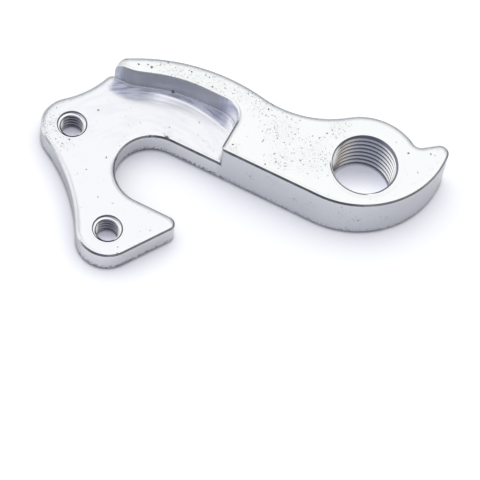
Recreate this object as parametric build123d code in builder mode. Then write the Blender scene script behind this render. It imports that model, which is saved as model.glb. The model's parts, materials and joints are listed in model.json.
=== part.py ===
"""Replaceable derailleur hanger for a bicycle frame, in millimetres.

One machined aluminium piece. A thin tab fits the frame's dropout: it has an open slot for the wheel
axle and two tapped screw holes. A thick arm runs on from it to the tapped hole that carries the
derailleur, and ends in a claw that the derailleur's stop screw rests on. The arm starts as a narrow
raised rim that hugs the edge of the dropout.

The origin is on the derailleur hole's axis, on the flat back face. +X runs along the axle slot towards
the derailleur hole, and +Z points out of the back face, through the tab and the arm.
"""

import math
import os

from build123d import *

# Plates
arm_thickness = 7.75
tab_thickness = 3.75
edge_break = 0.25

# Tapped holes, bored to the minor diameter of their threads
derailleur_bore_d = 8.917
derailleur_countersink = 0.35
screw_bore_d = 3.242
screw_countersink = 0.55

# Axle slot, placed from the derailleur hole
axle_x = -26.35
axle_y = -13.3
slot_width = 10.9

# Screw lugs and prong, placed from the axle
upper_screw_x = -13.5
upper_screw_y = 1.05
upper_lug_r = 4.45
lower_screw_x = -1.25
lower_screw_y = -11.4
lower_lug_r = 4.4
waist_r = 26.5
prong_reach = 6.7
prong_tip_r = 1.2

# Shoulder of the tab beside the rim's nose, placed from the axle
shoulder_x = -11.7
shoulder_y = 10.0
shoulder_r = 1.2
shoulder_hollow_r = 13.6

# Recess for the dropout and the rim around it, placed from the axle
recess_height = 13.35
recess_reach = 7.55
recess_corner_r = 3.0
recess_bend_x = -2.55
recess_bend_r = 21.0
recess_slope = 20.3
recess_drop = 2.48
recess_end_r = 6.0
step_corner_r = 0.7
rim_width = 3.27
crown_r = 27.2
nose_reach = 11.9
nose_r = 1.6
nose_top_r = 1.8

# Arm and claw, placed from the derailleur hole
boss_height = 7.8
boss_r = 8.25
neck_r = 14.5
notch_x = 5.2
notch_r = 1.3
claw_reach = 9.8
claw_r = 13.5
claw_height = 8.2
claw_tip_r = 1.25

# How far the tab runs on inside the arm
root_lap = 1.5

SIDEWAYS = 90
TOUCHING = 1e-6


def touching(first, first_gap, second, second_gap):
    """Point at the two given distances from two centres, on the left of the way between them."""
    way = second - first
    along = (first_gap**2 - second_gap**2 + way.length**2) / (2 * way.length)
    across = math.sqrt(first_gap**2 - along**2)
    ahead = way.normalized()
    return first + ahead * along + ahead.rotate(Axis.Z, SIDEWAYS) * across


def rise(centre, radius, x):
    """Upper point of a circle at x."""
    return Vector(x, centre.Y + math.sqrt(radius**2 - (x - centre.X) ** 2))


def belt(rounds):
    """Closed line that runs counter-clockwise round each (centre, radius) in turn.

    A positive radius keeps the metal inside the round, a negative one cuts the round into the metal,
    and zero is a sharp corner. Rounds that touch are joined at that point, and others by a straight.
    """
    links = []
    for (here, here_r), (there, there_r) in zip(rounds, rounds[1:] + rounds[:1]):
        way = there - here
        apart = way.length**2 - (here_r - there_r) ** 2
        straight = math.sqrt(apart) if apart > TOUCHING else 0
        lean = math.degrees(math.atan2(straight, here_r - there_r))
        outward = way.normalized().rotate(Axis.Z, -lean)
        links.append((here + outward * here_r, there + outward * there_r, outward, straight))
    for (_, arrive, outward, _), (leave, land, _, straight) in zip(links[-1:] + links[:-1], links):
        if arrive != leave:
            TangentArc(arrive, leave, tangent=outward.rotate(Axis.Z, SIDEWAYS))
        if straight:
            Line(leave, land)


# Places that the two outlines share
axle = Vector(axle_x, axle_y)
slot_r = slot_width / 2
front_y = axle_y + slot_r
step_x = axle_x + recess_reach
recess_y = axle_y + recess_height
bend_x = axle_x + recess_bend_x
recess_end_y = recess_y - recess_drop
recess_end_x = bend_x - recess_drop / math.tan(math.radians(recess_slope))
nose_x = axle_x - nose_reach

# Crown of the rim: it passes over the recess, then bends round the nose to the end of the recess wall
nose = Vector(nose_x + nose_r, recess_end_y)
crest_y = recess_y + rim_width
crown_y = crest_y - crown_r
crown = Vector(nose.X + math.sqrt((crown_r - nose_r) ** 2 - (nose.Y - crown_y) ** 2), crown_y)

# Arm: the outline of its blank, from the claw round the back to the nose of the rim
claw = Vector(claw_reach - claw_r, front_y + claw_r)
claw_tip_y = claw_height - claw_tip_r
claw_tip_x = claw.X + math.sqrt((claw_r - claw_tip_r) ** 2 - (claw_tip_y - claw.Y) ** 2)
boss = Vector(0, boss_height - boss_r)
arm_blank = [
    (Vector(nose_x, front_y), 0),
    (claw, claw_r),
    (Vector(claw_tip_x, claw_tip_y), claw_tip_r),
    (rise(boss, boss_r + notch_r, notch_x), -notch_r),
    (boss, boss_r),
    (touching(crown, crown_r + neck_r, boss, boss_r + neck_r), -neck_r),
    (crown, crown_r),
    (nose, nose_r),
]

# Recess: its wall rises square to the slot, turns along it, slopes down the rim and levels out at the nose
run_out_x = nose_x - slot_width
run_out_y = axle_y - slot_width
recess_outline = [
    (step_x, front_y),
    (step_x, recess_y),
    (bend_x, recess_y),
    (recess_end_x, recess_end_y),
    (run_out_x, recess_end_y),
    (run_out_x, run_out_y),
    (axle_x + slot_width, run_out_y),
    (axle_x + slot_width, front_y),
]
recess_rounds = [step_corner_r, recess_corner_r, recess_bend_r, recess_end_r]

with BuildPart() as arm:
    with BuildSketch():
        with BuildLine():
            belt(arm_blank)
        make_face()
    extrude(amount=arm_thickness)
    chamfer(faces().filter_by(Axis.Z).edges(), length=edge_break)
    with BuildSketch():
        with BuildLine():
            Polyline(recess_outline, close=True)
        make_face()
        for corner, corner_r in zip(recess_outline, recess_rounds):
            fillet(vertices().sort_by_distance(corner)[0], corner_r)
    extrude(amount=arm_thickness, mode=Mode.SUBTRACT)
    with BuildSketch(Plane.XZ):
        with Locations((nose_x, arm_thickness)):
            Rectangle(2 * nose_top_r, 2 * nose_top_r)
        with Locations((nose_x + nose_top_r, arm_thickness - nose_top_r)):
            Circle(nose_top_r, mode=Mode.SUBTRACT)
    extrude(amount=slot_width, both=True, mode=Mode.SUBTRACT)

# Tab: its outline, from the slot through the arm and round the two screw lugs
upper_screw = axle + Vector(upper_screw_x, upper_screw_y)
lower_screw = axle + Vector(lower_screw_x, lower_screw_y)
shoulder = axle + Vector(shoulder_x, shoulder_y)
prong_tip = axle + Vector(prong_reach - prong_tip_r, -slot_r - prong_tip_r)
root_x = step_x + root_lap
root_r = crown_r - root_lap
shoulder_hollow = touching(
    upper_screw, upper_lug_r + shoulder_hollow_r, shoulder, shoulder_r + shoulder_hollow_r
)
tab_outline = [
    (axle, -slot_r),
    (Vector(root_x, front_y), 0),
    (rise(crown, root_r, root_x), 0),
    (crown, root_r),
    (shoulder, shoulder_r),
    (shoulder_hollow, -shoulder_hollow_r),
    (upper_screw, upper_lug_r),
    (touching(lower_screw, lower_lug_r + waist_r, upper_screw, upper_lug_r + waist_r), -waist_r),
    (lower_screw, lower_lug_r),
    (prong_tip, prong_tip_r),
]

with BuildPart() as tab:
    with BuildSketch():
        with BuildLine():
            belt(tab_outline)
        make_face()
    extrude(amount=tab_thickness)
    chamfer(faces().filter_by(Axis.Z).edges(), length=edge_break)

with BuildPart() as hanger:
    add(arm.part)
    add(tab.part)
    Hole(derailleur_bore_d / 2)
    chamfer(edges(Select.LAST).filter_by(GeomType.CIRCLE), length=derailleur_countersink)
    with Locations(upper_screw, lower_screw):
        Hole(screw_bore_d / 2)
    chamfer(edges(Select.LAST).filter_by(GeomType.CIRCLE), length=screw_countersink)

hanger.part.label = "derailleur_hanger"
os.makedirs("parts", exist_ok=True)
export_step(hanger.part, "parts/derailleur_hanger.step")
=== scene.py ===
# %% [markdown]
# # A derailleur hanger for a bicycle
# The hanger is one small piece of aluminium that carries the rear derailleur. A mill has cut its outline
# and its stepped recess, and a tumbler has then rubbed it bright. The CAD model already has its true
# form, so this lesson adds what it leaves out: the threads in the three holes, the worn and pitted metal,
# and a white table to look at it on. The first cell loads the CAD model and keeps its box.

# %% Load the part
import json
import math

import bmesh
import bpy
from mathutils import Matrix, Vector


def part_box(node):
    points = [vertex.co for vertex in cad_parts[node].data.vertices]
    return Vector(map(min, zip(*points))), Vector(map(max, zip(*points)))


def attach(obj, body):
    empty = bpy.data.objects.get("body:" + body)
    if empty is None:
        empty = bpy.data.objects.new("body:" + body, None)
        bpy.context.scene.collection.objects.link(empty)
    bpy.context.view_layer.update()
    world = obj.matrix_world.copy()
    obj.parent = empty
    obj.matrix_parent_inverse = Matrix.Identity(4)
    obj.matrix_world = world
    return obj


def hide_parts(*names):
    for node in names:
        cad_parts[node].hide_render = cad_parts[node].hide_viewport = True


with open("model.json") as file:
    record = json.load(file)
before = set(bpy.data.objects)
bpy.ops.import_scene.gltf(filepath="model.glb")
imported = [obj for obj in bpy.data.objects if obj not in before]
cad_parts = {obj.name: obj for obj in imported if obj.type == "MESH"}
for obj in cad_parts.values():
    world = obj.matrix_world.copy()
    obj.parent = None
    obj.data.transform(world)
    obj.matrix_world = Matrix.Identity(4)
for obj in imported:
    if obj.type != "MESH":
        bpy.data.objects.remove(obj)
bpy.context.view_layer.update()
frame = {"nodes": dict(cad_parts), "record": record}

MM = 0.001
cad_hanger = frame["nodes"]["derailleur_hanger"]
low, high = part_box("derailleur_hanger")
print("hanger, mm:", [round(side / MM, 2) for side in high - low])

# %% [markdown]
# ## Camera
# The photograph was taken from above with a long lens, so the part's upright walls show only a little. A
# camera could be typed in as a place and three angles, but those are hard to picture. It is easier to
# think of a point on the table that it looks at, a distance from that point, and three turns: round the
# table, up from it, and round its own line of sight.

# %% Camera
PICTURE_PX = 480
SENSOR_MM = 36
FOCAL_PX = 2741.5
AIM = Vector((-11.28, -15.37, 0)) * MM
DISTANCE = 385.67 * MM
NEAREST_SEEN = 10 * MM
AZIMUTH = math.radians(17.866)
ELEVATION = math.radians(61.136)
ROLL = math.radians(9.934)

lens = bpy.data.cameras.new("camera")
lens.sensor_width = SENSOR_MM
lens.lens = FOCAL_PX * SENSOR_MM / PICTURE_PX
lens.clip_start = NEAREST_SEEN
camera = bpy.data.objects.new("camera", lens)
bpy.context.collection.objects.link(camera)
bpy.context.scene.camera = camera
swing = Matrix.Rotation(AZIMUTH, 4, "Z") @ Matrix.Rotation(math.pi / 2 - ELEVATION, 4, "X")
stand = Matrix.Translation(swing @ Vector((0, 0, DISTANCE)) + AIM)
camera.matrix_world = stand @ swing @ Matrix.Rotation(ROLL, 4, "Z")
print("camera, mm:", [round(v / MM, 1) for v in camera.matrix_world.translation])

# %% [markdown]
# ## Writing shaders as sums
# A finish is a network of nodes, and most of them do plain arithmetic. Adding and linking each one by
# hand hides the idea, so this class wraps an output socket and lets Python's own operators add the Math
# nodes. Every other kind of node comes from one method, `node`, which sets the node's options and then
# its sockets. Two methods make masks: `ramp` rises softly from 0 to 1 over a stretch, and `fall` drops
# from 1 to 0.

# %% Wires for node trees
class Wire:
    """An output socket in a node tree. Operators add Math nodes to it, and node() adds any other node."""

    def __init__(self, tree, socket=None):
        self.tree = tree
        self.socket = socket

    def node(self, kind, output=0, settings=None, **inputs):
        """A new node of this kind, with its options and with the values or wires of its sockets."""
        made = self.tree.nodes.new(kind)
        for name, value in (settings or {}).items():
            setattr(made, name, value)
        sockets = {socket.identifier.replace(" ", "_"): socket for socket in made.inputs}
        for name, value in inputs.items():
            if isinstance(value, Wire):
                self.tree.links.new(value.socket, sockets[name])
            else:
                sockets[name].default_value = value
        return Wire(self.tree, made.outputs[output]) if made.outputs else None

    def also(self, output):
        """Another output of the node that this wire comes from."""
        return Wire(self.tree, self.socket.node.outputs[output])

    def math(self, operation, first, second=0.0):
        return self.node("ShaderNodeMath", settings={"operation": operation}, Value=first, Value_001=second)

    def __add__(self, other):
        return self.math("ADD", self, other)

    def __radd__(self, other):
        return self.math("ADD", other, self)

    def __sub__(self, other):
        return self.math("SUBTRACT", self, other)

    def __rsub__(self, other):
        return self.math("SUBTRACT", other, self)

    def __mul__(self, other):
        return self.math("MULTIPLY", self, other)

    def __rmul__(self, other):
        return self.math("MULTIPLY", other, self)

    def ramp(self, start, end, low=0.0, high=1.0):
        """Low before start, high after end, and a soft change between them."""
        return self.node(
            "ShaderNodeMapRange",
            settings={"interpolation_type": "SMOOTHSTEP"},
            Value=self, From_Min=start, From_Max=end, To_Min=low, To_Max=high,
        )

    def fall(self, start, end):
        """1 before start and 0 after end."""
        return self.ramp(start, end, 1.0, 0.0)


print("a wire has the methods:", ", ".join(name for name in vars(Wire) if not name.startswith("_")))

# %% [markdown]
# Places and directions are vectors. A Math node would turn a vector into a single number, so vectors go
# through Vector Math nodes. Masks that overlap are joined by taking the largest, because their sum could
# pass 1.

# %% Vectors and masks
def vector_math(wire, operation, first, second, output="Vector"):
    return wire.node(
        "ShaderNodeVectorMath", output=output, settings={"operation": operation},
        Vector=first, Vector_001=second,
    )


def dot(wire, first, second):
    """How far the first vector reaches along the second."""
    return vector_math(wire, "DOT_PRODUCT", first, second, output="Value")


def split(wire, vector):
    """The three numbers of a vector."""
    x = wire.node("ShaderNodeSeparateXYZ", output="X", Vector=vector)
    return x, x.also("Y"), x.also("Z")


def largest(*values):
    """The largest of numbers and wires. The last one has to be a wire."""
    most = values[-1]
    for value in values[:-1]:
        most = most.math("MAXIMUM", most, value)
    return most


print("helpers:", ", ".join(helper.__name__ for helper in (vector_math, dot, split, largest)))

# %% [markdown]
# ## Sizes of the part
# The threads and the marks round the holes have to sit exactly on the holes. Their places could be typed
# in, but the CAD record already lists them as mounts, so they are read from there. The two screw holes
# share one mount, which gives the point midway between them and their distance. It doesn't give the
# direction from one to the other, so that is typed in.

# %% Sizes of the part
SCREW_LINE = Vector((12.25, -12.45)).normalized()

mounts = {mount["name"]: mount for mount in frame["record"]["mounts"]}
arm_top = high.z
tab_top = mounts["frame_seat"]["pos_m"][2]
derailleur_bore_r = mounts["derailleur_hole"]["dims"]["r_mm"]
screw_holes = mounts["frame_screws"]
screw_bore_r = screw_holes["dims"]["hole_r_mm"]
half_apart = SCREW_LINE * screw_holes["dims"]["pcd_mm"] / 2 * MM
screw_centres = [Vector(screw_holes["pos_m"][:2]) + side * half_apart for side in (-1, 1)]
print("screw holes, mm:", [tuple(round(v / MM, 2) for v in centre) for centre in screw_centres])
print("bore radii, mm:", derailleur_bore_r, screw_bore_r)

# %% [markdown]
# ## The metal
# Tumbled aluminium is bright but not a mirror. It has a fine orange peel, soft clouds where the tumbling
# stones rubbed more or less, dark pits that the rubbing didn't reach, and the marks of the cutter on the
# floor of its recess. Painted images could show all this, but they have to be unwrapped onto the part.
# Patterns in space need no unwrapping, so the finish reads Object coordinates, scaled to millimetres so
# that each number below is a size on the part. The direction of a face tells tops, chamfers and walls
# apart.

# %% Places on the metal
def empty_tree(owner):
    """A wire to start from, in the emptied node tree of a material or a world."""
    owner.use_nodes = True
    owner.node_tree.nodes.clear()
    return Wire(owner.node_tree)


aluminium = bpy.data.materials.new("tumbled_aluminium")
metal = empty_tree(aluminium)
metres = metal.node("ShaderNodeTexCoord", output="Object")
place = vector_math(metal, "MULTIPLY", metres, (1 / MM, 1 / MM, 1 / MM))
flat_place = vector_math(metal, "MULTIPLY", place, (1, 1, 0))
place_x, place_y, level = split(metal, place)
face = metal.node("ShaderNodeNewGeometry", output="True Normal")
face_x, face_y, facing_up = split(metal, face)


def away_from(point, start=place):
    """Distance from a point, both in millimetres."""
    return vector_math(metal, "DISTANCE", start, point, output="Value")


from_bore = away_from((0, 0, 0), flat_place)
from_screw = metal.math(
    "MINIMUM", *(away_from((*centre / MM, 0), flat_place) for centre in screw_centres)
)
in_screw_hole = from_screw.fall(2.2, 2.3)
in_bore = largest(from_bore.fall(5.02, 5.06), in_screw_hole)
flat_top = facing_up.ramp(0.9, 0.98)
tab_floor = flat_top * level.fall(4.5, 5.0)
upright = facing_up.fall(0.1, 0.4)
print("nodes for places and directions:", len(aluminium.node_tree.nodes))

# %% [markdown]
# ### Pits
# The pits are small holes in the skin of the metal, dark with dirt. Hundreds of modelled holes would cost
# many faces, so they are spots in the finish that a Bump node also sinks. The small ones crowd in worn
# patches, which are balls in space: a centre and a radius for each. A few large pits are placed one by
# one in the same way.

# %% Where the pits are
ARM = arm_top / MM
TAB = tab_top / MM
PITTED_PATCHES = [
    # x, y, level and radius, first on the tops and then on the front side
    (-24.3, 2.0, ARM, 3.6), (-31.0, 0.9, ARM, 4.5), (-20.5, 2.2, ARM, 3.0), (-27.5, 1.6, ARM, 3.0),
    (-16.5, 1.2, ARM, 3.0), (-12.8, -0.8, ARM, 4.0), (-7.0, -2.5, ARM, 4.5), (-5.5, 3.3, ARM, 2.5),
    (-10.8, -5.0, ARM, 3.0), (-17.2, -6.9, ARM, 1.4), (-42.0, -14.0, TAB, 3.5), (-39.2, -15.3, TAB, 2.0),
    (-27.4, -7.0, TAB, 1.2), (-21.0, -5.6, TAB, 1.2),
    (-13.9, -7.85, 4.5, 1.4), (-10.3, -7.85, 6.0, 1.8), (-5.9, -7.85, 3.6, 2.2), (-4.4, -7.85, 4.1, 1.6),
    (-0.1, -7.3, 4.8, 1.8), (1.9, -6.6, 4.0, 1.6), (5.9, -3.9, 3.1, 1.3),
]
LARGE_PITS = [
    # x, y, level and radius
    (-33.4, -0.6, ARM, 0.24), (-34.1, -0.5, ARM, 0.16), (-35.3, -1.1, ARM, 0.2), (4.6, 4.6, ARM, 0.18),
    (7.4, 6.0, ARM, 0.16), (7.1, 2.4, ARM, 0.14), (2.6, -6.3, 7.6, 0.2), (-37.7, -8.4, TAB, 0.16),
    (-27.15, -7.65, 3.7, 0.38), (-29.3, -8.65, 3.7, 0.3), (-29.85, -0.52, 3.9, 0.34),
]
print("pitted patches:", len(PITTED_PATCHES), "large pits:", len(LARGE_PITS))

# %% [markdown]
# Three Voronoi patterns scatter the small pits as specks of three sizes. Each cell of a pattern draws a
# number, and only the cells whose number is under the share for that spot hold a speck. The share is high
# in the worn patches and along the foot of the walls, and low elsewhere. A little noise in the
# coordinates makes all pits ragged.

# %% Pits
RAGGED = 0.12
LEAST_SHARE = 0.03


def noise(scale, detail=2.0, where=place):
    return metal.node("ShaderNodeTexNoise", Vector=where, Scale=scale, Detail=detail)


wobble = metal.node(
    "ShaderNodeTexNoise", output="Color", settings={"normalize": False}, Vector=place, Scale=5.0
)
shift = vector_math(metal, "MULTIPLY", wobble, (RAGGED, RAGGED, RAGGED))
ragged_place = vector_math(metal, "ADD", place, shift)
patchy = noise(0.7)
worn_patch = largest(*(away_from(spot).fall(0.2 * radius, radius) for *spot, radius in PITTED_PATCHES))
foot_of_wall = level.fall(0.4, 0.9) * upright
share = LEAST_SHARE + 0.9 * largest(worn_patch, foot_of_wall) * patchy.ramp(0.19, 0.42)


def specks(cells_per_mm, radius):
    """Specks of about this radius, in the cells whose drawn number is under the share."""
    near = metal.node("ShaderNodeTexVoronoi", Vector=ragged_place, Scale=cells_per_mm)
    luck = metal.node("ShaderNodeSeparateColor", output="Red", Color=near.also("Color"))
    reach = cells_per_mm * radius * (0.5 + luck.also("Green"))
    return near.fall(reach * 0.5, reach) * metal.math("LESS_THAN", luck, share)


fine_pit = largest(specks(4.2, 0.05) * 0.5, specks(2.6, 0.075) * 0.8, specks(1.3, 0.12))
large_pit = largest(
    *(away_from(spot, ragged_place).fall(0.4 * radius, radius) for *spot, radius in LARGE_PITS)
)
pit = largest(fine_pit, large_pit) * (1 - in_bore)
print("nodes with the pits:", len(aluminium.node_tree.nodes))

# %% [markdown]
# ### Cutter marks
# The end mill that cleared the recess left arcs on its floor. They are two hundredths of a millimetre
# high at most, too shallow to model, but they bend the reflection of the wall behind them. The last arc
# is a fine ridge, and a Bump node gets it as a height, with a faint swirl. Inside that arc the floor dips
# towards the wall, so its normals lean forward. Outside, along the wall, it is hazy and streaked. Noise
# that reads the distance and the turn about the cutter's centre, in place of x and y, makes streaks and
# clouds that follow the arcs.

# %% Cutter marks
CUTTER_CENTRE = (-27.0, -17.8, 0)
CUTTER_EDGE = 16.74
RIDGE_WIDTH = 0.18
RIDGE_HEIGHT = 0.022
SWIRL_PITCH = 0.75
SWIRL_HEIGHT = 0.003
STREAKS_PER_MM = 2.2
STREAKS_PER_RADIAN = 5.0

from_cutter = away_from(CUTTER_CENTRE, flat_place)
swirl = metal.math("SINE", from_cutter * (math.tau / SWIRL_PITCH)) * patchy
ridge_inside = from_cutter.ramp(CUTTER_EDGE - RIDGE_WIDTH, CUTTER_EDGE)
ridge = ridge_inside * from_cutter.fall(CUTTER_EDGE, CUTTER_EDGE + RIDGE_WIDTH)
wall_gap = place_x.ramp(-36.2, -26.5, -2.43, 0.05) - place_y
by_wall = tab_floor * place_x.ramp(-38.6, -37.4)
cutter_zone = by_wall * wall_gap.fall(1.6, 2.6)
cutter_marks = cutter_zone * (RIDGE_HEIGHT * ridge + SWIRL_HEIGHT * swirl)

spoke_x, spoke_y, _ = split(metal, vector_math(metal, "SUBTRACT", flat_place, CUTTER_CENTRE))
turn = metal.math("ARCTAN2", spoke_y, spoke_x)
arc_place = metal.node(
    "ShaderNodeCombineXYZ", X=from_cutter * STREAKS_PER_MM, Y=turn * STREAKS_PER_RADIAN
)
streak = noise(1.0, where=arc_place).ramp(0.35, 0.65)
arc_cloud = noise(0.55, 3.0, arc_place).ramp(0.42, 0.62)
in_arc = from_cutter.fall(CUTTER_EDGE - 0.2, CUTTER_EDGE) * place_x.ramp(-36.0, -30.5)
dish = by_wall * in_arc * wall_gap.ramp(0.0, 2.8, 0.22, 0.0)
haze_band = wall_gap.ramp(0.0, 0.3) * wall_gap.fall(1.8, 2.7)
haze = by_wall * (1 - in_arc) * haze_band * place_x.fall(-22.5, -20.5)
print("cutter's arc, mm:", CUTTER_EDGE, "round", CUTTER_CENTRE[:2])

# %% [markdown]
# ### Rounded edges
# No edge of a tumbled part is sharp. Modelled rounds would add rows of faces along every edge, and the
# CAD chamfers are already there, so the Bevel node bends the normals beside an edge as a round would. A
# narrow round keeps the edge lines thin, and a little of a wide one rolls the flat faces off towards
# their borders. The holes keep their own normals, because the rounds would wash out the threads.

# %% Rounded edges
NARROW_ROUND = 0.12
WIDE_ROUND = 1.2
WIDE_SHARE = 0.3
FORWARD = (0, -1, 0)


def rounded(radius):
    """Normals as they would be with a round of this radius, in millimetres, on every edge."""
    return metal.node("ShaderNodeBevel", settings={"samples": 8}, Radius=radius * MM)


def mix_normals(amount, first, second):
    return metal.node(
        "ShaderNodeMix", output=1, settings={"data_type": "VECTOR"},
        Factor_Float=amount, A_Vector=first, B_Vector=second,
    )


soft_edges = mix_normals(WIDE_SHARE, rounded(NARROW_ROUND), rounded(WIDE_ROUND))
dished_floor = mix_normals(dish, soft_edges, FORWARD)
smooth_face = metal.node("ShaderNodeNewGeometry", output="Normal")
worn_normal = mix_normals(in_bore, dished_floor, smooth_face)
print("rounds, mm:", NARROW_ROUND, "and a little of", WIDE_ROUND)

# %% [markdown]
# ### Painted shade on edges and corners
# Most edges of the part are painted as thin dark lines, a painted shade. They could be drawn by hand as
# curves, but the normals already know where they are: the angle between a rounded normal and the true one
# says how near an edge is, and the way the rounded normal points says which edge it is. The far edges are
# painted grey, the front and right chamfers are painted almost black, and the foot of the walls is darkened
# by a ragged painted contact shade, partly dirt. A dark line of painted shade follows the step beside the
# recess.

# %% Painted edge shade
EDGE_REACH = 0.9
STEP_X = -18.8

by_edge = rounded(EDGE_REACH)
bend = 1 - dot(metal, by_edge, face)
edge_x, edge_y, _ = split(metal, by_edge)
front_or_right = largest(edge_y.fall(-0.3, -0.05), edge_x.ramp(0.01, 0.06) * edge_y.fall(0.02, 0.12))
chamfered = facing_up.ramp(0.5, 0.65) * facing_up.fall(0.75, 0.82)
by_hole = largest(from_bore.fall(5.3, 5.6), from_screw.fall(2.6, 2.9))
far_chamfer = chamfered * face_x.ramp(-0.5, -0.2) * 0.7
# Painted shade: grey lines along the edges that face neither front nor right.
painted_edge_shade = largest(bend.ramp(0.0, 0.02), far_chamfer) * (1 - front_or_right) * (1 - by_hole)
dark_side = largest(face_y.fall(-0.68, -0.52), face_x.ramp(0.15, 0.4) * 0.6)
# Painted shade: the front and right chamfers are made nearly black.
painted_dark_chamfer = chamfered * dark_side * level.ramp(1.0, 2.0) * (1 - by_hole)
# Painted shade: a dark line along the top edge of the step.
step_edge = place_y.fall(-2.9, -2.2) * place_x.fall(STEP_X + 0.12, STEP_X + 0.32)
painted_step_shade = flat_top * level.ramp(7.5, 7.6) * step_edge
grain = noise(2.4, where=ragged_place)
# Painted contact shade along the foot of the walls, partly dirt, made ragged by noise.
foot_line = level.fall(0.3, 0.55) * patchy.ramp(0.25, 0.45)
foot_stain_and_shade = level.fall(0.5, 1.3) * grain.ramp(0.48, 0.56) * largest(0.5, place_x.fall(-18.0, -12.0))
foot_dirt_and_painted_shade = largest(foot_line, foot_stain_and_shade) * upright * (1 - in_bore)
print("nodes with the edges:", len(aluminium.node_tree.nodes))

# %% [markdown]
# The wall of the recess is painted greyer than the outer sides, a painted shade, and only its rounded
# corner is painted bright, a painted highlight. The wall is picked out by its place and its direction.
# The inside corners are darkened as painted shade, and Ambient Occlusion finds those: it measures how
# much of the view from a point is blocked close by.

# %% Recess and inside corners
CORNER_REACH = 0.5

recess_side = from_cutter.fall(18.2, 18.6) * place_y.ramp(-7.6, -7.3) * face_y.fall(-0.85, -0.6)
# Painted shade on the wall of the recess.
recess_wall = upright * level.ramp(3.8, 4.0) * recess_side
in_recess = level.ramp(3.8, 4.1) * place_x.fall(-18.7, -18.4) * place_y.fall(0.1, 0.5)
# Painted highlight on the corner of the recess.
painted_recess_corner_highlight = upright * in_recess * place_x.ramp(-21.7, -21.4) * place_y.ramp(-3.6, -2.6)
corner_light = metal.node(
    "ShaderNodeAmbientOcclusion", output="AO", settings={"samples": 6}, Distance=CORNER_REACH * MM
)
# Painted shade: Ambient Occlusion darkens the inside corners.
painted_corner_shade = corner_light.fall(0.45, 0.85) * (1 - in_bore)
print("nodes with the recess:", len(aluminium.node_tree.nodes))

# %% [markdown]
# ### Tapped holes
# Each hole starts with a countersink, a small cone that takes the burr off the thread's first turn. A
# real one is slightly rounded by the tumbling, so a bright ring shows between two thin dark lines. The
# cone could be modelled as a round, but it is only a few pixels wide, so its normals are bent upwards in
# the ring instead. The turns of the screw holes' threads get the same in a weaker form, on their crests.
# A dark line of painted shade follows the near rim of the large hole.

# %% Countersinks
UP = (0, 0, 1)
TO_RIM_SHADE = (-0.3, -0.95, 0)

sloping = facing_up.ramp(0.5, 0.65) * facing_up.fall(0.95, 0.99)
deep = largest(1 - in_screw_hole, level.fall(2.9, 3.15))
bore_lip = from_bore.ramp(4.70, 4.76) * from_bore.fall(5.02, 5.06) * level.ramp(7.05, 7.1)
screw_ring = from_screw.ramp(1.72, 1.77) * from_screw.fall(1.94, 1.99) * level.ramp(3.05, 3.1)
screw_lip = screw_ring * face_y.fall(0.3, 0.5)
near_ring = from_screw.ramp(1.8, 1.86) * from_screw.fall(2.0, 2.06) * level.ramp(3.1, 3.2)
near_lip = near_ring * face_x.ramp(0.15, 0.35) * face_y.ramp(0.1, 0.3)
lip = largest(bore_lip, screw_lip, near_lip) * sloping
screw_crest = in_screw_hole * deep * from_screw.fall(1.74, 1.84)
for bent in (bore_lip * 0.95, largest(screw_lip, near_lip) * 0.6, screw_crest * 0.3):
    worn_normal = mix_normals(bent * sloping, worn_normal, UP)
# Painted shade: a dark line on the top face along the near rim of the large hole.
rim_shade_side = dot(metal, flat_place, TO_RIM_SHADE).ramp(3.0, 3.7)
bore_rim_painted_shade = flat_top * level.ramp(7.6, 7.7) * from_bore.fall(4.96, 5.04) * rim_shade_side
print("nodes with the countersinks:", len(aluminium.node_tree.nodes))

# %% [markdown]
# The roots and the crests of the threads are darkened as painted shade. On two sides of each bore, left
# and right, the turns are painted bright, a painted highlight. Both are masks again: the distance from
# the axis tells root from crest, and the direction from the axis tells the sides apart.

# %% Painted shade and highlights in the threads
RIGHT_SIDE = (0.95, 0.32, 0)
LEFT_SIDE = (-0.99, -0.14, 0)


def painted_highlight_sides(centre, radius, top):
    """The two sides of a bore where its turns get a painted highlight, up to a level. All sizes are in
    millimetres.
    """
    offset = vector_math(metal, "SUBTRACT", flat_place, (*centre, 0))
    right_turns = dot(metal, offset, RIGHT_SIDE).ramp(0.8 * radius, 0.97 * radius)
    left_turns = dot(metal, offset, LEFT_SIDE).ramp(0.92 * radius, radius)
    inside = away_from((*centre, 0), flat_place).fall(1.16 * radius, 1.2 * radius)
    return largest(right_turns, left_turns) * inside * level.fall(top - 0.2, top)


# Painted highlight: the turns on the left and right of each bore are coloured nearly white.
bore_painted_highlight = largest(
    *(painted_highlight_sides(centre / MM, screw_bore_r, 3.1) for centre in screw_centres),
    painted_highlight_sides((0, 0), derailleur_bore_r, 7.2),
)
thread_root = largest(from_bore.ramp(4.6, 4.8), from_screw.ramp(1.86, 1.97) * in_screw_hole)
bore_line = from_bore.fall(4.70, 4.76) * level.ramp(6.85, 6.95)
# Painted shade: the threads, bore walls and countersinks are darkened inside the holes.
painted_hole_shade = largest(
    thread_root * deep * 0.8,
    in_screw_hole * deep * 0.12,
    upright * (0.85 - 0.6 * in_screw_hole * level.ramp(3.0, 3.15)),
    chamfered * 0.85,
    bore_line * 0.9,
)
below_top = in_bore * facing_up.fall(0.95, 0.99)
thread_painted_shade = painted_hole_shade * (1 - 0.6 * bore_painted_highlight) * below_top * (1 - lip)
print("nodes with the threads:", len(aluminium.node_tree.nodes))

# %% [markdown]
# ### Colours of the metal
# The bare metal is nearly white, with soft clouds. Its upright sides are painted a little darker and
# bluer as painted shade, most of all on the arm and at the back, and the sides that look left or right
# get more painted shade. A mask could switch between two colours, but a Mix node blends them, so soft
# masks give soft borders.

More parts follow.
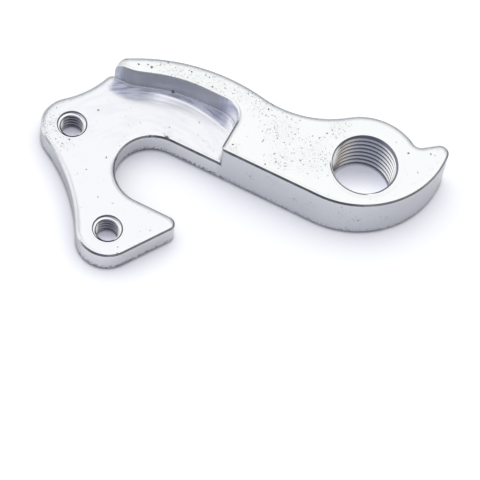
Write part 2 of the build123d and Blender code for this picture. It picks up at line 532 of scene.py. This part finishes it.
# %% Bare metal and its sides
def mix_colours(wire, amount, first, second):
    """The first colour where amount is 0, the second where it is 1."""
    return wire.node(
        "ShaderNodeMix", output=2, settings={"data_type": "RGBA"},
        Factor_Float=amount, A_Color=first, B_Color=second,
    )


cloud = noise(0.18)
bare_metal = mix_colours(metal, cloud, (0.775, 0.79, 0.805, 1), (0.82, 0.83, 0.84, 1))
# Painted shade: the sides that look left or right are darkened.
left_shade = face_x.ramp(-0.9, -0.3, 0.85, 0.0)
right_shade = face_x.ramp(0.3, 0.8, 0.0, 0.15)
side_shade = largest(left_shade, right_shade) * (1 - 0.65 * in_recess)
arm_or_back = largest(place_x.ramp(-19.2, -18.6), face_y.ramp(-0.1, 0.3))
painted_side_shade_colour = mix_colours(metal, arm_or_back, (0.835, 0.855, 0.91, 1), (0.7, 0.725, 0.79, 1))
print("nodes with the bare metal:", len(aluminium.node_tree.nodes))

# %% [markdown]
# All the masks come together here. Each mark is laid over the bare metal like a thin coat of paint: a
# mask times a strength says how much of the coat's colour shows. The order matters, because a later coat
# hides an earlier one. The painted shade, the painted highlights and the pits come last.

# %% Coats of colour
def coated(wire, colour, coats):
    """A colour with coats laid over it, each with its amount and its own colour."""
    for amount, coat_colour in coats.values():
        colour = mix_colours(wire, amount, colour, coat_colour)
    return colour


streak_colour = mix_colours(metal, streak, (0.36, 0.38, 0.54, 1), (0.76, 0.78, 0.94, 1))
# Painted highlight: the ridge by the wall is coloured nearly white, besides its bump.
painted_ridge_highlight = by_wall * wall_gap.fall(2.0, 3.0) * place_x.ramp(-33.0, -30.5) * ridge
metal_coats = {
    "worn patches": (worn_patch * 0.18, (0.68, 0.695, 0.70, 1)),
    # Painted shade: upright sides darker and bluer, darker still where they look left or right.
    "sides": (upright * 0.7, painted_side_shade_colour),
    "shaded sides": (upright * side_shade, (0.4, 0.41, 0.44, 1)),
    "tab floor": (tab_floor * 0.6, (0.775, 0.78, 0.84, 1)),
    "soft arcs": (tab_floor * place_y.ramp(-15.0, -9.0) * arc_cloud * 0.32, (0.68, 0.69, 0.77, 1)),
    "cutter marks": (cutter_zone * (0.3 + 0.5 * streak), (0.82, 0.82, 0.93, 1)),
    "haze": (haze * 0.8, streak_colour),
    # Painted highlight along the ridge.
    "ridge": (painted_ridge_highlight * 0.8, (0.97, 0.97, 1, 1)),
    # Painted shade in the inside corners.
    "corner grime": (painted_corner_shade * 0.65, (0.2, 0.2, 0.22, 1)),
    # Painted shade: the wall of the recess is greyer.
    "recess wall": (recess_wall * place_x.ramp(-36.0, -29.0, 0.6, 0.45), (0.44, 0.45, 0.42, 1)),
    # Painted highlight: the corner of the recess is nearly white.
    "recess corner": (painted_recess_corner_highlight, (0.98, 0.98, 1, 1)),
    # Painted shade on the edges and on the foot of the walls, partly dirt at the foot.
    "dull edges": (largest(painted_edge_shade * 0.75, foot_dirt_and_painted_shade * 0.95), (0.22, 0.23, 0.26, 1)),
    # Painted shade: nearly black front and right chamfers.
    "dark chamfers": (painted_dark_chamfer * patchy.ramp(0.3, 0.6, 0.8, 0.93), (0.1, 0.1, 0.12, 1)),
    # Painted shade along the step and the near rim of the large hole.
    "step and burr": (largest(painted_step_shade, bore_rim_painted_shade) * 0.9, (0.12, 0.12, 0.14, 1)),
    # Painted highlight on the threads.
    "polished turns": (bore_painted_highlight * 0.8, (0.97, 0.97, 0.98, 1)),
    # Painted shade in the threads.
    "thread grime": (thread_painted_shade, (0.12, 0.12, 0.17, 1)),
    "pits": (pit * 0.85, (0.12, 0.12, 0.13, 1)),
}
metal_colour = coated(metal, bare_metal, metal_coats)
print("coats on the metal:", ", ".join(metal_coats))

# %% [markdown]
# ### Gloss and relief
# Roughness says how blurred the reflections are. Pits, haze and the recess wall are duller than the rest.
# The heights of the peel, the pits and the cutter marks add up to one relief for a single Bump node, in
# millimetres. The haze scatters light like a white powder, so it is less metallic than the metal round
# it.

# %% Gloss and relief
PEEL_HEIGHT = 0.002
PIT_DEPTH = 0.04
LEAST_ROUGH = 0.19

peel = noise(2.2, 3.0)
rough = LEAST_ROUGH + 0.06 * cloud + 0.35 * pit + 0.3 * haze + 0.15 * recess_wall
relief = PEEL_HEIGHT * peel - PIT_DEPTH * pit + cutter_marks
bump = metal.node("ShaderNodeBump", Height=relief, Distance=MM, Strength=1.0, Normal=worn_normal)
metallic = 1 - 0.05 * tab_floor - haze * (0.35 + 0.6 * streak)
skin = metal.node(
    "ShaderNodeBsdfPrincipled", Base_Color=metal_colour, Roughness=rough, Metallic=metallic, Normal=bump
)
metal.node("ShaderNodeOutputMaterial", Surface=skin)
print("metal nodes:", len(aluminium.node_tree.nodes))

# %% [markdown]
# ## Threads
# The derailleur hole has a fine M10 thread, and the two screw holes have M4 threads. A real thread is cut
# by a tap that winds its way in. Rings stacked in the bore would look much the same, but they wouldn't
# climb, so the thread is cut here as it is in metal: Geometry Nodes bend a line into a helix and sweep
# the groove's section along it, and the result is subtracted from the plain bore of the CAD solid.

# %% Thread groove tree
groove = bpy.data.node_groups.new("thread_groove", "GeometryNodeTree")
groove.interface.new_socket("Groove", in_out="OUTPUT", socket_type="NodeSocketGeometry")
for name, kind in (
    ("Wall Radius", "Float"), ("Root Radius", "Float"), ("Wall Width", "Float"), ("Root Width", "Float"),
    ("Pitch", "Float"), ("Turns", "Float"), ("Start Angle", "Float"), ("Steps per Turn", "Int"),
    ("Start", "Vector"), ("Metal", "Material"),
):
    groove.interface.new_socket(name, in_out="INPUT", socket_type="NodeSocket" + kind)
inlet = groove.nodes.new("NodeGroupInput")
size = {socket.name: Wire(groove, socket) for socket in inlet.outputs if socket.name}
grow = Wire(groove)

# A straight line of many points is bent into a helix that rises by one pitch each turn.
straight = grow.node("GeometryNodeCurvePrimitiveLine")
stepped = grow.node(
    "GeometryNodeResampleCurve", Curve=straight, Count=size["Turns"] * size["Steps per Turn"]
)
along = grow.node("GeometryNodeSplineParameter") * size["Turns"]
angle = along * math.tau + size["Start Angle"]
climbing = grow.node(
    "ShaderNodeCombineXYZ",
    X=size["Wall Radius"] * grow.math("COSINE", angle),
    Y=size["Wall Radius"] * grow.math("SINE", angle),
    Z=along * size["Pitch"],
)
helix_place = vector_math(grow, "ADD", climbing, size["Start"])
wound = grow.node("GeometryNodeSetPosition", Geometry=stepped, Position=helix_place)
helix = grow.node("GeometryNodeSetCurveNormal", settings={"mode": "Z_UP"}, Curve=wound)

# The section is wide where it meets the wall of the bore and narrow at the root of the thread.
depth = size["Root Radius"] - size["Wall Radius"]
half_wall = size["Wall Width"] * 0.5
half_root = size["Root Width"] * 0.5
corners = [
    grow.node("ShaderNodeCombineXYZ", X=reach, Y=half)
    for reach, half in ((depth, half_root), (0.0, half_wall), (0.0, -1 * half_wall), (depth, -1 * half_root))
]
section = grow.node(
    "GeometryNodeCurvePrimitiveQuadrilateral", settings={"mode": "POINTS"},
    Point_1=corners[0], Point_2=corners[1], Point_3=corners[2], Point_4=corners[3],
)
swept = grow.node("GeometryNodeCurveToMesh", Curve=helix, Profile_Curve=section, Fill_Caps=True)
solid = grow.node("GeometryNodeRealizeInstances", Geometry=swept)
finished = grow.node("GeometryNodeSetMaterial", Geometry=solid, Material=size["Metal"])
grow.node("NodeGroupOutput", Socket_0=finished)
print("groove tree:", len(groove.nodes), "nodes, inputs", list(size))

# %% [markdown]
# A metric thread has a 60 degree section. Its groove is three quarters of a pitch wide at the bore and an
# eighth of a pitch at the root. The groove starts a little inside the bore and runs out past both faces
# of the plate, so that the cut is clean at each end. Each groove is turned into a plain mesh, which the
# Booleans can then subtract.

# %% Cut the threads
WALL_SHARE = 0.75
ROOT_SHARE = 0.125
FLANK_ANGLE = math.radians(30)
START_INSIDE = 0.05 * MM
STEPS_PER_TURN = 72
FAR_SIDE = math.radians(108)
M10 = {"root_radius": 5 * MM, "pitch": 1 * MM, "first_turn": 0.71 * MM}
M4 = {"root_radius": 2 * MM, "pitch": 0.7 * MM, "first_turn": 0.3 * MM}


def plain_mesh(thing):
    """What the object looks like with its modifiers, as a mesh of its own."""
    bpy.context.view_layer.update()
    return bpy.data.meshes.new_from_object(thing.evaluated_get(bpy.context.evaluated_depsgraph_get()))


def thread_cutter(name, centre, thickness, bore_radius, root_radius, pitch, first_turn):
    """Helical groove round a bore, from a pitch below the part to a pitch above it.

    On the far side of the hole, its first turn lies first_turn below the top.
    """
    turns_to_top = (thickness + pitch - first_turn) / pitch
    values = {
        "Wall Radius": bore_radius - START_INSIDE,
        "Root Radius": root_radius,
        "Wall Width": WALL_SHARE * pitch + 2 * START_INSIDE * math.tan(FLANK_ANGLE),
        "Root Width": ROOT_SHARE * pitch,
        "Pitch": pitch,
        "Turns": thickness / pitch + 2,
        "Steps per Turn": STEPS_PER_TURN,
        "Start Angle": FAR_SIDE - turns_to_top * math.tau,
        "Start": (centre[0], centre[1], -pitch),
        "Metal": aluminium,
    }
    cutter = bpy.data.objects.new(name, bpy.data.meshes.new(name))
    bpy.context.collection.objects.link(cutter)
    sweep = cutter.modifiers.new("groove", "NODES")
    sweep.node_group = groove
    for socket in groove.interface.items_tree:
        if socket.in_out == "INPUT":
            sweep[socket.identifier] = values[socket.name]
    cutter.data = plain_mesh(cutter)
    cutter.modifiers.clear()
    return cutter


cutters = [thread_cutter("derailleur_thread", (0, 0), arm_top, derailleur_bore_r * MM, **M10)]
for number, centre in enumerate(screw_centres):
    cutters.append(thread_cutter(f"screw_thread_{number}", centre, tab_top, screw_bore_r * MM, **M4))
for cutter in cutters:
    print(cutter.name, "faces:", len(cutter.data.polygons))

# %% [markdown]
# ## Threaded hanger
# The CAD mesh is loose triangles, and a Boolean needs a closed body, so the doubled points of a copy are
# merged first. The copy also drops the normals that were stored for the uncut faces. Three Booleans then
# take the grooves out of it. The exact solver is slower than the fast one, but it copes with surfaces
# that nearly touch, as the grooves and the countersinks do.

# %% Threaded hanger
SAME_POINT = 1e-7

merged = bmesh.new()
merged.from_mesh(cad_hanger.data)
bmesh.ops.remove_doubles(merged, verts=merged.verts, dist=SAME_POINT)
hanger_mesh = bpy.data.meshes.new("hanger")
merged.to_mesh(hanger_mesh)
merged.free()
for leftover in ("custom_normal", "sharp_edge", "sharp_face"):
    if leftover in hanger_mesh.attributes:
        hanger_mesh.attributes.remove(hanger_mesh.attributes[leftover])
hanger = bpy.data.objects.new("hanger", hanger_mesh)
bpy.context.collection.objects.link(hanger)
for cutter in cutters:
    cut = hanger.modifiers.new(cutter.name, "BOOLEAN")
    cut.operation = "DIFFERENCE"
    cut.solver = "EXACT"
    cut.object = cutter
hanger.data = plain_mesh(hanger)
hanger.modifiers.clear()
for cutter in cutters:
    bpy.data.objects.remove(cutter)
print("hanger faces:", len(hanger.data.polygons))

# %% [markdown]
# The curved walls are made of narrow flat faces. Smooth shading hides them, and every edge that turns by
# more than 25 degrees stays sharp. The finished mesh takes the place of the CAD node. A closed body has
# no open edges, and its volume is the solid's less the grooves, so both are measured.

# %% Smooth faces
SHARP_ANGLE = math.radians(25)

hanger.data.materials.clear()
hanger.data.materials.append(aluminium)
hanger.data.polygons.foreach_set("material_index", [0] * len(hanger.data.polygons))
hanger.data.polygons.foreach_set("use_smooth", [True] * len(hanger.data.polygons))
hanger.data.set_sharp_from_angle(angle=SHARP_ANGLE)
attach(hanger, "root")
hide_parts("derailleur_hanger")
body = bmesh.new()
body.from_mesh(hanger.data)
print("open edges:", sum(not edge.is_manifold for edge in body.edges))
print("volume, mm3:", round(body.calc_volume(signed=True) / MM**3, 1))
body.free()

# %% [markdown]
# ## Table
# The part lies on a white table. One large square is enough for it, because its borders are far out of
# the picture. It lies a hair below the part, so that the two surfaces don't flicker where they meet.

# %% Table
REACH = 1.5
TABLE_GAP = 0.12 * MM

table_mesh = bpy.data.meshes.new("table")
table_mesh.from_pydata(
    [(x * REACH, y * REACH, -TABLE_GAP) for x, y in ((-1, -1), (1, -1), (1, 1), (-1, 1))], [], [(0, 1, 2, 3)]
)
table = bpy.data.objects.new("table", table_mesh)
bpy.context.collection.objects.link(table)
paper = bpy.data.materials.new("white_table")
table_mesh.materials.append(paper)
print("table, m:", 2 * REACH, "wide, mm below the part:", round(TABLE_GAP / MM, 2))

# %% [markdown]
# In the photograph the table is so bright that it is pure white, apart from a bluish shadow at the part.
# A lamp that strong would wash out the metal, so the table glows a little itself: in full for the camera,
# faintly for reflections, and not for the light that it throws on the part. Ambient Occlusion dims the
# glow beside the part, a painted shadow. Under the holes the glow is raised and brighter on one side, a
# painted pool of light as if light fell through them at a slant.

# %% Glow of the table
LIFT = 0.355
MIRRORED_LIFT = 0.08
PAINTED_LIGHT_UNDER_DERAILLEUR_HOLE = 2.6
PAINTED_LIGHT_UNDER_SCREW_HOLE = 2.1
SLANT = Vector((0.5, -0.87, 0))
SHADOW_REACH = 5
CONTACT_REACH = 0.5
BLACK = (0, 0, 0, 1)
SHADOW_TINT = (0.78, 0.8, 0.98, 1)
OPEN_TINT = (0.88, 0.89, 0.96, 1)
PAPER_WHITE = (0.92, 0.92, 0.92, 1)

sheet = empty_tree(paper)
spot_on_table = sheet.node("ShaderNodeTexCoord", output="Object")


def open_to_light(distance):
    """1 where nothing stands within this distance, in millimetres, and less beside the part."""
    return sheet.node(
        "ShaderNodeAmbientOcclusion", output="AO", settings={"samples": 8}, Distance=distance * MM
    )


def under(centre, radius, most):
    """Painted light on the patch of table that a hole opens on, brighter on one side as if it fell in at a
    slant from the far side.
    """
    offset = vector_math(sheet, "SUBTRACT", spot_on_table, (*centre, -TABLE_GAP))
    slant = dot(sheet, offset, SLANT / radius)
    apart = vector_math(sheet, "LENGTH", offset, (0, 0, 0), output="Value")
    return apart.ramp(0.95 * radius, radius, most, 0.0) * slant.ramp(-0.9, 0.4, 0.41, 1.0)


near_part = open_to_light(SHADOW_REACH)
touching = open_to_light(CONTACT_REACH)
# Painted light: the glow is raised under the holes.
painted_light_under_holes = largest(
    *(under(centre, screw_bore_r * MM, PAINTED_LIGHT_UNDER_SCREW_HOLE) for centre in screw_centres),
    under((0, 0), derailleur_bore_r * MM, PAINTED_LIGHT_UNDER_DERAILLEUR_HOLE),
)
# Painted shadow beside the part and painted light under the holes, both in the glow.
shade = largest(near_part.ramp(0.35, 0.95, 0.6, 1.0), painted_light_under_holes) * touching.ramp(0.5, 0.85, 0.1, 1.0)
table_ray = sheet.node("ShaderNodeLightPath", output="Is Camera Ray")
seen = table_ray + table_ray.also("Is Transmission Ray")
mirrored = table_ray.also("Is Glossy Ray")
tint = mix_colours(sheet, near_part.ramp(0.3, 1.0), SHADOW_TINT, OPEN_TINT)
glow = mix_colours(sheet, seen * shade * LIFT + mirrored * MIRRORED_LIFT, BLACK, tint)
matte = sheet.node("ShaderNodeBsdfDiffuse", Color=PAPER_WHITE)
glowing = sheet.node("ShaderNodeEmission", Color=glow, Strength=1.0)
both = sheet.node("ShaderNodeAddShader", Shader=matte, Shader_001=glowing)
sheet.node("ShaderNodeOutputMaterial", Surface=both)
print("table nodes:", len(paper.node_tree.nodes))

# %% [markdown]
# ## Room
# Polished metal shows its surroundings more than its own colour. Lamps would show as hard spots in it, so
# the light is a room painted on the world: bright above and behind, where the tops look, and grey in
# front, most of all high up, which the threads mirror. A window on the left lights the left sides. The
# right is darker, with a warm patch at half height. The camera itself sees plain white.

# %% Room
room = bpy.data.worlds.new("studio")
bpy.context.scene.world = room
air = empty_tree(room)
look = air.node("ShaderNodeTexCoord", output="Generated")
climb = dot(air, look, (0, 0, 1))
front = dot(air, look, (math.sin(AZIMUTH), -math.cos(AZIMUTH), 0))
right = dot(air, look, (math.cos(AZIMUTH), math.sin(AZIMUTH), 0))

bare_room = mix_colours(air, climb.ramp(0.3, 1.0), (0.88, 0.88, 0.9, 1), (1.25, 1.26, 1.235, 1))
by_front = front.ramp(0.0, 0.45) * right.ramp(-0.7, -0.3, 0.4, 1.0) * climb.ramp(0.35, 0.6, 0.35, 1.0)
window = right.fall(-0.8, -0.5) * climb.ramp(0.05, 0.25) * climb.fall(0.5, 0.7)
half_height = climb.ramp(0.42, 0.55) * climb.fall(0.6, 0.9)
by_right = right.ramp(0.3, 0.6) * front.ramp(-0.3, 0.0) * half_height
low_down = largest(climb.fall(0.1, 0.35), front.ramp(0.0, 0.25) * climb.fall(0.4, 0.5))
room_ray = air.node("ShaderNodeLightPath", output="Is Camera Ray")
room_coats = {
    "grey front": (by_front, (0.33, 0.35, 0.43, 1)),
    "window": (window, (1.1, 1.1, 1.14, 1)),
    "warm patch": (by_right, (0.34, 0.28, 0.22, 1)),
    "low right": (right.ramp(0.15, 0.6) * low_down * 0.9, (0.33, 0.34, 0.38, 1)),
    "white for the camera": (room_ray + room_ray.also("Is Transmission Ray"), (1, 1, 1, 1)),
}
walls = coated(air, bare_room, room_coats)
air.node("ShaderNodeOutputWorld", Surface=air.node("ShaderNodeBackground", Color=walls, Strength=1.0))
print("coats on the room:", ", ".join(room_coats))

# %% [markdown]
# ## View
# The Standard view shows colours as they were chosen, with no film curve over them.

# %% Finish
bpy.context.scene.view_settings.view_transform = "Standard"
